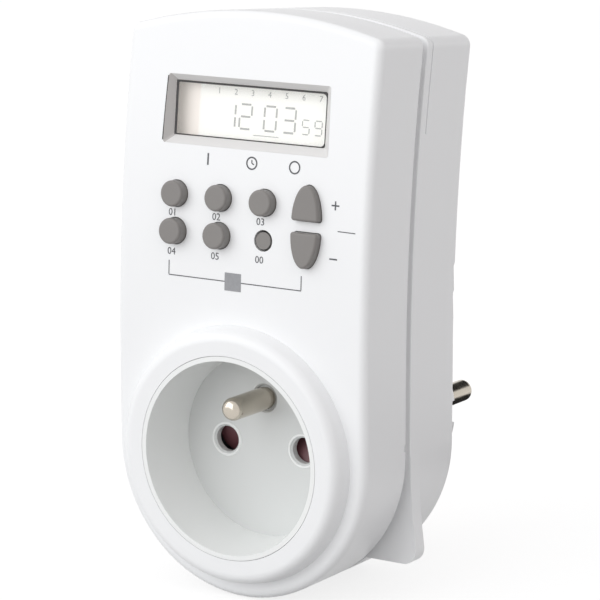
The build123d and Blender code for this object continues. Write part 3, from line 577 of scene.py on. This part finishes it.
# ---------------------------------------------------------------- printed marks
def printed_marks():
    """Marks on the keypad's panel, placed from the keys: signs, plain numbers and lines."""
    surface = surface_of("front_housing")
    origin = middle("round_key_1")
    origin -= origin.x * ACROSS

    def place(node, across=0.0, up=0.0):
        centre = middle(node)
        return centre.x + across, (centre - origin).dot(UP) + up

    art = bmesh.new()
    # State signs under the display: on, by the clock, off
    on, timed, off = STATUS_PLACES
    row, half = place("round_key_1", up=STATUS_RISE)[1], STATUS_HEIGHT / 2
    bar(art, (on, row - half), (on, row + half), STATUS_BAR)
    ring(art, (timed, row), half, STATUS_LINE)
    for across, up in (LONG_HAND, SHORT_HAND):
        bar(art, (timed, row), (timed + across, row + up), CLOCK_LINE)
    ring(art, (off, row), half, STATUS_LINE)
    # A number under each key
    for number in range(1, 6):
        fall = TOP_LABEL_DROP if number <= 3 else LOW_LABEL_DROP
        spot = place(f"round_key_{number}", LABEL_SHIFT, fall)
        numeral(art, f"0{number}", spot, LABEL_HEIGHT)
    numeral(art, "00", place("reset_key", LABEL_SHIFT, RESET_LABEL_DROP), LABEL_HEIGHT)
    # Plus and minus, and the line between them
    for node, rise in SIGN_RISE.items():
        x, y = place(node, SIGN_SHIFT, rise)
        bar(art, (x - SIGN_ARM, y), (x + SIGN_ARM, y), SIGN_LINE)
        if node == "plus_key":
            for low, high in ((-SIGN_ARM, -SIGN_LINE / 2), (SIGN_LINE / 2, SIGN_ARM)):
                bar(art, (x, y + low), (x, y + high), SIGN_LINE)
    between = (place("plus_key")[1] + place("minus_key")[1]) / 2
    bar(art, (DIVIDER[0], between), (DIVIDER[1], between - DIVIDER_DROP), DIVIDER_LINE)
    # Bracket that joins the two outer columns, with a plain block on it
    left, right = (place(node, shift)[0] for node, shift in BRACKET_SHIFTS.items())
    level = place("round_key_4", up=BRACKET_DROP)[1]
    bar(art, (left, level), (BLOCK_PLACE - BLOCK_HALF_WIDTH, level), BRACKET_LINE)
    bar(art, (BLOCK_PLACE + BLOCK_HALF_WIDTH, level), (right, level), BRACKET_LINE)
    for x in (left, right):
        bar(art, (x, level + BRACKET_LINE / 2), (x, level + BRACKET_RISE), BRACKET_LINE)
    lay_on_face(art, surface, origin)
    new_piece("printed_marks", mesh_from(art, "printed_marks"), "housing", LEGEND_INK)

    block = bmesh.new()
    patch(
        block,
        (BLOCK_PLACE - BLOCK_HALF_WIDTH, level - BLOCK_HALF_HEIGHT),
        (BLOCK_PLACE + BLOCK_HALF_WIDTH, level + BLOCK_HALF_HEIGHT),
    )
    lay_on_face(block, surface, origin)
    new_piece("printed_block", mesh_from(block, "printed_block"), "housing", BLOCK_INK)


# ---------------------------------------------------------------- display
LIT = {"0": "abcdef", "1": "bc", "2": "abged", "3": "abgcd", "5": "afgcd", "9": "abcdfg"}


def seven_segment(shape, figure, centre, size):
    """A seven-segment figure, slightly slanted. size is its width, height and stroke."""
    width, height, stroke = size
    half, rise = width / 2, height / 2
    ends = {
        "a": ((-half, rise), (half, rise)),
        "b": ((half, 0), (half, rise)),
        "c": ((half, -rise), (half, 0)),
        "d": ((-half, -rise), (half, -rise)),
        "e": ((-half, -rise), (-half, 0)),
        "f": ((-half, 0), (-half, rise)),
        "g": ((-half, 0), (half, 0)),
    }
    for name in LIT[figure]:
        start, end = (Vector(point) for point in ends[name])
        inset = (end - start).normalized() * (stroke / 2 + 0.25 * stroke)
        points = [
            (centre[0] + point.x + SEGMENT_SLANT * point.y, centre[1] + point.y)
            for point in (start + inset, end - inset)
        ]
        bar(shape, *points, stroke)


def display_contents():
    """Figures of the liquid-crystal display: a time, small seconds and the days' numbers."""
    art = bmesh.new()
    for figure, across in TIME_FIGURES:
        seven_segment(art, figure, (across, TIME_LEVEL), TIME_SIZE)
    for figure, across in SECONDS_FIGURES:
        seven_segment(art, figure, (across, TIME_LEVEL - SECONDS_DROP), SECONDS_SIZE)
    for day in range(7):
        numeral(art, str(day + 1), (DAY_START + DAY_STEP * day, DAY_LEVEL), DAY_HEIGHT)
    bar(art, *UNDERLINE, UNDERLINE_WIDTH)
    lay_on_face(art, surface_of("lcd_glass"), front_outline("lcd_glass")[0])
    new_piece("display_figures", mesh_from(art, "display_figures"), "housing", SEGMENT_INK)


def rounded_outline(low, high, radii, steps=8):
    """Points of a rounded rectangle, anticlockwise from its top right corner. radii are
    those of its corners at the left and at the right."""
    (left, bottom), (right, top), (left_radius, right_radius) = low, high, radii
    corners = (
        (right, top, -1, -1, right_radius), (left, top, 1, -1, left_radius),
        (left, bottom, 1, 1, left_radius), (right, bottom, -1, 1, right_radius),
    )
    points = []
    for quarter, (x, y, inward, upward, radius) in enumerate(corners):
        for step in range(steps + 1):
            turn = pi / 2 * (quarter + step / steps)
            points.append((x + radius * (inward + cos(turn)), y + radius * (upward + sin(turn))))
    return points


def lens_border():
    """Dark line printed round the edge of the display's window, heaviest at its left."""
    centre, width, height = front_outline("display_window")
    x, y = width / 2, height / 2
    outer = rounded_outline((-x, -y), (x, y), WINDOW_RADII)
    inner = rounded_outline(
        (BORDER_LEFT - x, BORDER_BOTTOM - y), (x - BORDER_RIGHT, y - BORDER_TOP), VIEW_RADII
    )
    shape = bmesh.new()
    flat_ring(shape, inner, outer)
    for vert in shape.verts:
        vert.co = centre + vert.co.x * ACROSS + vert.co.y * UP + (vert.co.z + INK_GAP) * OUT
    new_piece("window_border", mesh_from(shape, "window_border"), "housing", BLACK_PRINT_AND_SHADOW_INK)


def skin_of(node, wanted):
    """A closed skin of the ink's thickness over those faces of a CAD node that are wanted."""
    source = bmesh.new()
    source.from_mesh(NODES[node].data)
    bmesh.ops.remove_doubles(source, verts=source.verts, dist=1e-6)
    bmesh.ops.delete(source, geom=[f for f in source.faces if not wanted(f)], context="FACES")
    source.normal_update()
    source.verts.ensure_lookup_table()
    shape = bmesh.new()
    layers = []
    for level in (INK_GAP, INK_GAP + INK_THICKNESS):
        layers.append([shape.verts.new(v.co + level * v.normal) for v in source.verts])
    below, above = layers
    for face in source.faces:
        corners = [v.index for v in face.verts]
        shape.faces.new([above[i] for i in corners])
        shape.faces.new([below[i] for i in reversed(corners)])
    for edge in source.edges:
        if edge.is_boundary:
            first, second = (v.index for v in edge.verts)
            shape.faces.new((below[first], below[second], above[second], above[first]))
    source.free()
    return shape


def window_bezel():
    """Grey facing on the sloped sides of the display's opening, its tone partly painted shade, and
    a darker grey on the left side that paints the shade there.
    """
    centre, width, height = front_outline("display_window")
    reach_x, reach_y = width / 2 + BEVEL_REACH, height / 2 + BEVEL_REACH

    def sloped(face):
        spot = face.calc_center_median() - centre
        tilt = face.normal.dot(OUT)
        return (
            abs(spot.x) < reach_x and abs(spot.dot(UP)) < reach_y
            and abs(spot.dot(OUT)) < BEVEL_DEPTH and BEVEL_TILT[0] < tilt < BEVEL_TILT[1]
        )

    def on_left(face):
        return face.calc_center_median().x < centre.x - width / 2

    for name, material, wanted in (
        ("window_bezel", BEZEL, lambda face: sloped(face) and not on_left(face)),
        ("window_bezel_side", BEZEL_SIDE_SHADE, lambda face: sloped(face) and on_left(face)),
    ):
        mesh = mesh_from(skin_of("front_housing", wanted), name)
        new_piece(name, mesh, "housing", material)

    # Painted shadow: a fine dark line along the outer edge of the left side, the mesh made last
    spots = [(v.co.x, (v.co - centre).dot(UP)) for v in mesh.vertices]
    top = min(spot for spot in spots if spot[1] > height / 3)
    bottom = min(spot for spot in spots if spot[1] < -height / 3)
    line = bmesh.new()
    bar(line, (bottom[0] - LEFT_SHADOW_LINE_HALF, bottom[1]), (top[0] - LEFT_SHADOW_LINE_HALF, top[1]), 2 * LEFT_SHADOW_LINE_HALF)
    lay_on_face(line, surface_of("front_housing"), centre - centre.x * ACROSS)
    mesh = mesh_from(line, "bezel_edge_line")
    new_piece("bezel_edge_line", mesh, "housing", BLACK_PRINT_AND_SHADOW_INK)


# ---------------------------------------------------------------- seam
def seam_corners(front, rear, first, height, outward):
    """Corners of the cross-section of the painted shadow in the gap, where a line leaves the
    housing in that direction, or none where the set-back band isn't there. front and rear are
    the shells' surfaces, and first is where the search for the band starts."""
    for step in range(BAND_STEPS):
        start = Vector((0, first + step * BAND_STEP, height)) + 2 * DROP_HEIGHT * outward
        to_front, to_rear = (shell.ray_cast(start, -outward)[3] for shell in (front, rear))
        if to_rear is None or (to_front is not None and to_front < to_rear):
            continue
        spot = start - (to_rear - BAND_PROBE) * outward
        near = front.ray_cast(spot, AHEAD, BAND_REACH)[0]
        far = rear.ray_cast(spot, BEHIND, BAND_REACH)[0]
        if None in (near, far) or far.y - near.y <= BAND_LEAST:
            continue
        start.y = far.y - BAND_WIDTH / 2
        ground = rear.ray_cast(start, -outward)[0] + INK_GAP * outward
        top = ground + INK_THICKNESS * outward
        back = far.y - (1 - SEAM_SHARE) * BAND_WIDTH
        return [
            (spot.x, y, spot.z)
            for spot, y in ((ground, near.y), (ground, back), (top, back), (top, near.y))
        ]
    return []


def seam_gap():
    """Painted shadow: a dark strip in the narrow gap between the shells, at the front of the
    set-back band.
    """
    front, rear = surface_of("front_housing"), surface_of("rear_housing")
    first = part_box("rear_housing")[0].y
    places = [(SEAM_TOP * (1 - run / SEAM_RUNS), 0) for run in range(SEAM_RUNS)]
    places += [(0, -SEAM_TURN * run / SEAM_RUNS) for run in range(SEAM_RUNS + 1)]
    shape = bmesh.new()
    for side in (1, -1):
        sections = [
            seam_corners(front, rear, first, height, Vector((side * cos(turn), 0, sin(turn))))
            for height, turn in places
        ]
        loops = [[shape.verts.new(corner) for corner in loop] for loop in sections if loop]
        for above, below in zip(loops, loops[1:]):
            join_loops(shape, above, below)
        shape.faces.new(loops[0])
        shape.faces.new(loops[-1])
    new_piece("seam_gap", mesh_from(shape, "seam_gap"), "housing", SEAM_SHADOW)


# ---------------------------------------------------------------- socket
def hole_rims():
    """Low rounded rims round the two contact holes in the well's floor."""
    shape = bmesh.new()
    floor_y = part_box("socket_floor")[0].y
    turns = circle(RIM_STEPS)
    for node in ("socket_contact_left", "socket_contact_right"):
        across = HOLE_OFFSET if middle(node).x > 0 else -HOLE_OFFSET
        loops = [
            [
                shape.verts.new((across + reach * cos(turn), floor_y - rise, reach * sin(turn)))
                for turn in turns
            ]
            for reach, rise in RIM_PROFILE
        ]
        for first, second in zip(loops, loops[1:] + loops[:1]):
            join_loops(shape, first, second)
    mesh = mesh_from(shape, "contact_hole_rims", smooth=True)
    new_piece("contact_hole_rims", mesh, "housing", SOCKET)


# ---------------------------------------------------------------- screws
def screw_shape(radius, length):
    """A pan-head screw with a cross recess. The head's top is at the origin and faces +Y."""
    shape = bmesh.new()
    profile = (
        (SHANK_RADIUS, -length), (SHANK_RADIUS, -HEAD_THICKNESS), (radius, -HEAD_THICKNESS),
        (radius, -0.45 * HEAD_THICKNESS), (0.93 * radius, -0.16 * HEAD_THICKNESS),
        (0.78 * radius, 0.0),
    )
    turns = circle(SCREW_STEPS)
    loops = [
        [shape.verts.new((reach * cos(turn), level, reach * sin(turn))) for turn in turns]
        for reach, level in profile
    ]
    for first, second in zip(loops, loops[1:]):
        join_loops(shape, first, second)
    shape.faces.new(loops[0])

    def cross(span, arm, level):
        half, side = span / 2, arm / 2
        quarter = ((half, -side), (half, side), (side, side))
        points = []
        for turn in range(4):
            c, s = round(cos(turn * pi / 2)), round(sin(turn * pi / 2))
            points += [(x * c - z * s, x * s + z * c) for x, z in quarter]
        return [shape.verts.new((x, level, z)) for x, z in points]

    mouth = cross(RECESS_SPAN, RECESS_ARM, 0.0)
    bed = cross(0.55 * RECESS_SPAN, 0.75 * RECESS_ARM, -RECESS_DEPTH)
    join_loops(shape, mouth, bed)
    shape.faces.new(bed)
    edges = [
        shape.edges.get(ends)
        for loop in (mouth, loops[-1])
        for ends in zip(loop, loop[1:] + loop[:1])
    ]
    bmesh.ops.triangle_fill(shape, edges=edges, use_beauty=True, normal=(0, 1, 0))
    return mesh_from(shape, "screw_shape")


def scatter_tree(name):
    """A node tree that sets a shape on every point of a mesh, each turned by its own angle."""
    tree = bpy.data.node_groups.new(name, "GeometryNodeTree")
    sockets = (
        ("Points", "NodeSocketGeometry"), ("Shape", "NodeSocketObject"),
        ("Seed", "NodeSocketInt"), ("Finish", "NodeSocketMaterial"),
    )
    ids = {}
    for label, kind in sockets:
        ids[label] = tree.interface.new_socket(label, in_out="INPUT", socket_type=kind).identifier
    tree.interface.new_socket("Geometry", in_out="OUTPUT", socket_type="NodeSocketGeometry")
    given = tree.nodes.new("NodeGroupInput")
    info = add(
        tree,
        "GeometryNodeObjectInfo",
        {"Object": given.outputs["Shape"], "As Instance": True},
    )
    angle = add(
        tree,
        "FunctionNodeRandomValue",
        {"Seed": given.outputs["Seed"], "Min": (0, 0, 0), "Max": (0, 2 * pi, 0)},
        data_type="FLOAT_VECTOR",
    )
    turn = add(tree, "FunctionNodeEulerToRotation", {"Euler": angle.outputs["Value"]})
    spread = add(
        tree,
        "GeometryNodeInstanceOnPoints",
        {
            "Points": given.outputs["Points"],
            "Instance": info.outputs["Geometry"],
            "Rotation": turn.outputs["Rotation"],
        },
    )
    real = add(tree, "GeometryNodeRealizeInstances", {"Geometry": spread.outputs["Instances"]})
    coated = add(
        tree,
        "GeometryNodeSetMaterial",
        {"Geometry": real.outputs["Geometry"], "Material": given.outputs["Finish"]},
    )
    output = tree.nodes.new("NodeGroupOutput")
    tree.links.new(coated.outputs["Geometry"], output.inputs["Geometry"])
    return tree, ids


def housing_screws():
    """The four screws that hold the shells together, with the cross recesses of their heads."""
    names = [f"housing_screw_{number}" for number in range(1, 5)]
    low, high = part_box(names[0])
    template = new_object("screw_template", screw_shape((high.x - low.x) / 2, high.y - low.y))
    places = bpy.data.meshes.new("screw_places")
    places.from_pydata(
        [(middle(name).x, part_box(name)[1].y, middle(name).z) for name in names], [], []
    )
    holder = new_object("screw_holder", places)
    tree, ids = scatter_tree("screws_on_points")
    modifier = holder.modifiers.new("screws", "NODES")
    modifier.node_group = tree
    modifier[ids["Shape"]] = template
    modifier[ids["Seed"]] = 5
    modifier[ids["Finish"]] = STEEL
    mesh = plain_mesh(holder)
    for done in (holder, template):
        bpy.data.objects.remove(done)
    piece = new_piece("housing_screws", mesh, "housing", STEEL)
    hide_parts(*names)


# ---------------------------------------------------------------- camera
def place_camera():
    """A long lens, turned to the right of the front and a little above the socket."""
    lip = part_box("socket_well")[0].y
    aim = Vector((AIM_ACROSS, lip + AIM_BEHIND_LIP, AIM_HEIGHT))
    back = Vector((sin(AZIMUTH) * cos(ELEVATION), -cos(AZIMUTH) * cos(ELEVATION), sin(ELEVATION)))
    camera = new_object("camera", bpy.data.cameras.new("camera"))
    camera.location = aim + DISTANCE * back
    camera.rotation_euler = back.to_track_quat("Z", "Y").to_euler()
    camera.data.lens = LENS
    camera.data.sensor_width = 36
    camera.data.clip_start = 0.01
    bpy.context.scene.camera = camera


# ---------------------------------------------------------------- light and floor
def seen_plainly(tree):
    """1 where the camera sees a thing directly, in gloss or through glass, and 0 elsewhere."""
    rays = add(tree, "ShaderNodeLightPath")
    seen = rays.outputs["Is Camera Ray"]
    for other in ("Is Glossy Ray", "Is Transmission Ray"):
        seen = add(
            tree, "ShaderNodeMath", {0: seen, 1: rays.outputs[other]}, operation="MAXIMUM"
        ).outputs[0]
    return seen


def flat_object(name, corners, material):
    """A staged object of one face."""
    shape = bmesh.new()
    shape.faces.new([shape.verts.new(corner) for corner in corners])
    mesh = bpy.data.meshes.new(name)
    shape.to_mesh(mesh)
    shape.free()
    mesh.materials.append(material)
    made = new_object(name, mesh)
    return made


def key_light(aim):
    """One broad soft lamp above, in front and to the left."""
    lamp = bpy.data.lights.new("key_light", "AREA")
    lamp.shape = "SQUARE"
    lamp.size = LAMP_SIZE
    lamp.energy = LAMP_POWER
    lamp.color = KEY_TINT
    holder = new_object("key_light", lamp)
    holder.location = LAMP_PLACE
    holder.rotation_euler = (Vector(LAMP_PLACE) - aim).to_track_quat("Z", "Y").to_euler()


def white_room():
    """Surroundings that light the object evenly. Seen plainly, they are white."""
    world = bpy.data.worlds.new("white_room")
    world.use_nodes = True
    tree = world.node_tree
    tree.nodes.clear()
    seen = seen_plainly(tree)
    inputs = {
        "Color": blend(tree, seen, ROOM_TINT, WHITE),
        "Strength": scaled(tree, seen, ROOM_LIGHT, 1.0),
    }
    glow = add(tree, "ShaderNodeBackground", inputs)
    output = tree.nodes.new("ShaderNodeOutputWorld")
    tree.links.new(glow.outputs["Background"], output.inputs["Surface"])
    bpy.context.scene.world = world


def floor_paint():
    """A pale floor that is white where nothing shades it, and returns less light than it shows."""
    material, tree, output, _ = new_material("white_studio_floor")
    returned = add(tree, "ShaderNodeBsdfDiffuse", {"Color": FLOOR_RETURN})
    shaded = add(tree, "ShaderNodeBsdfDiffuse", {"Color": FLOOR_SHADE})
    glow = add(tree, "ShaderNodeEmission", {"Color": WHITE, "Strength": FLOOR_GLOW})
    shown = add(tree, "ShaderNodeAddShader", {0: shaded.outputs[0], 1: glow.outputs[0]})
    both = add(
        tree,
        "ShaderNodeMixShader",
        {0: seen_plainly(tree), 1: returned.outputs[0], 2: shown.outputs[0]},
    )
    tree.links.new(both.outputs[0], output.inputs["Surface"])
    return material


def studio():
    """Lamp, white surroundings, floor, and dark cards."""
    low, high = CAD_BOX
    key_light((Vector(low) + Vector(high)) / 2)
    white_room()
    # The cards stand behind and below, and only show as streaks in the polished pins
    for name, corners in CARDS:
        card = flat_object(name, corners, CARD)
        card.visible_camera = False
        card.visible_diffuse = False
        card.visible_shadow = False
    level = low[2] - FLOOR_DROP
    corners = [(x, y, level) for x, y in FLOOR_CORNERS]
    flat_object("floor", corners, floor_paint())


bpy.context.scene.view_settings.view_transform = "Standard"
place_camera()
studio()
printed_marks()
display_contents()
seam_gap()
hole_rims()
window_bezel()
lens_border()
housing_screws()
